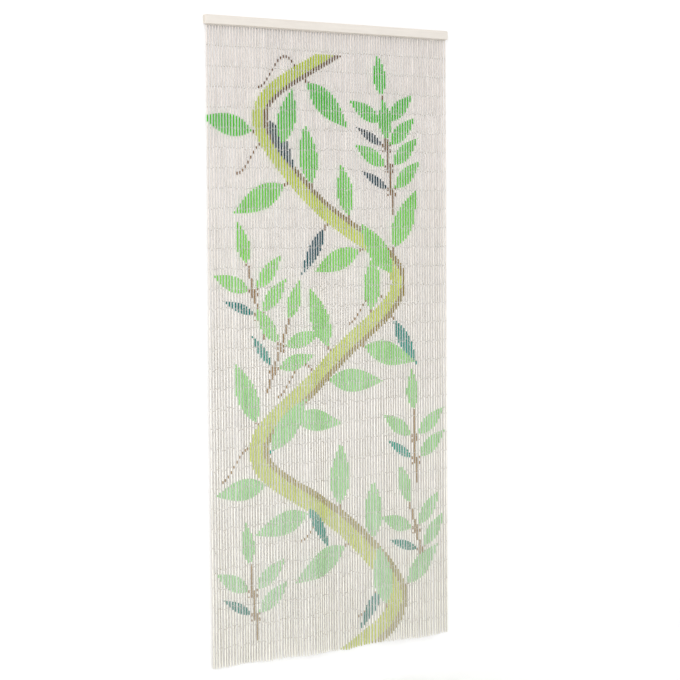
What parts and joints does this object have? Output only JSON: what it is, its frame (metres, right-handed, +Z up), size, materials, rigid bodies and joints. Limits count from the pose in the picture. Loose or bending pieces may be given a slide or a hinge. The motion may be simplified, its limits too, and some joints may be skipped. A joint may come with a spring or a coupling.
{
  "type": "bead door curtain with head rail",
  "caption": "Door fly screen of painted bamboo tube beads strung on wire, hanging as close straight strands from a slim painted wooden head rail.",
  "frame": {"origin": "centre of the head rail's back face, which is fixed to a door frame", "axes": "+X along the rail to the viewer's right, +Y out of the back face towards the door frame, +Z up"},
  "size_m": [0.906, 0.015, 2.0082],
  "materials": {
    "rail_paint": "cream paint on a planed wooden batten, satin",
    "bead_paint": "bamboo tubes painted off-white with green and yellow-green leaf work, satin",
    "bead_wire": "dull galvanised wire links between the beads"
  },
  "bodies": {
    "root": {"head_rail": "rail_paint", "bead_strands": "bead_paint"}
  },
  "joints": []
}
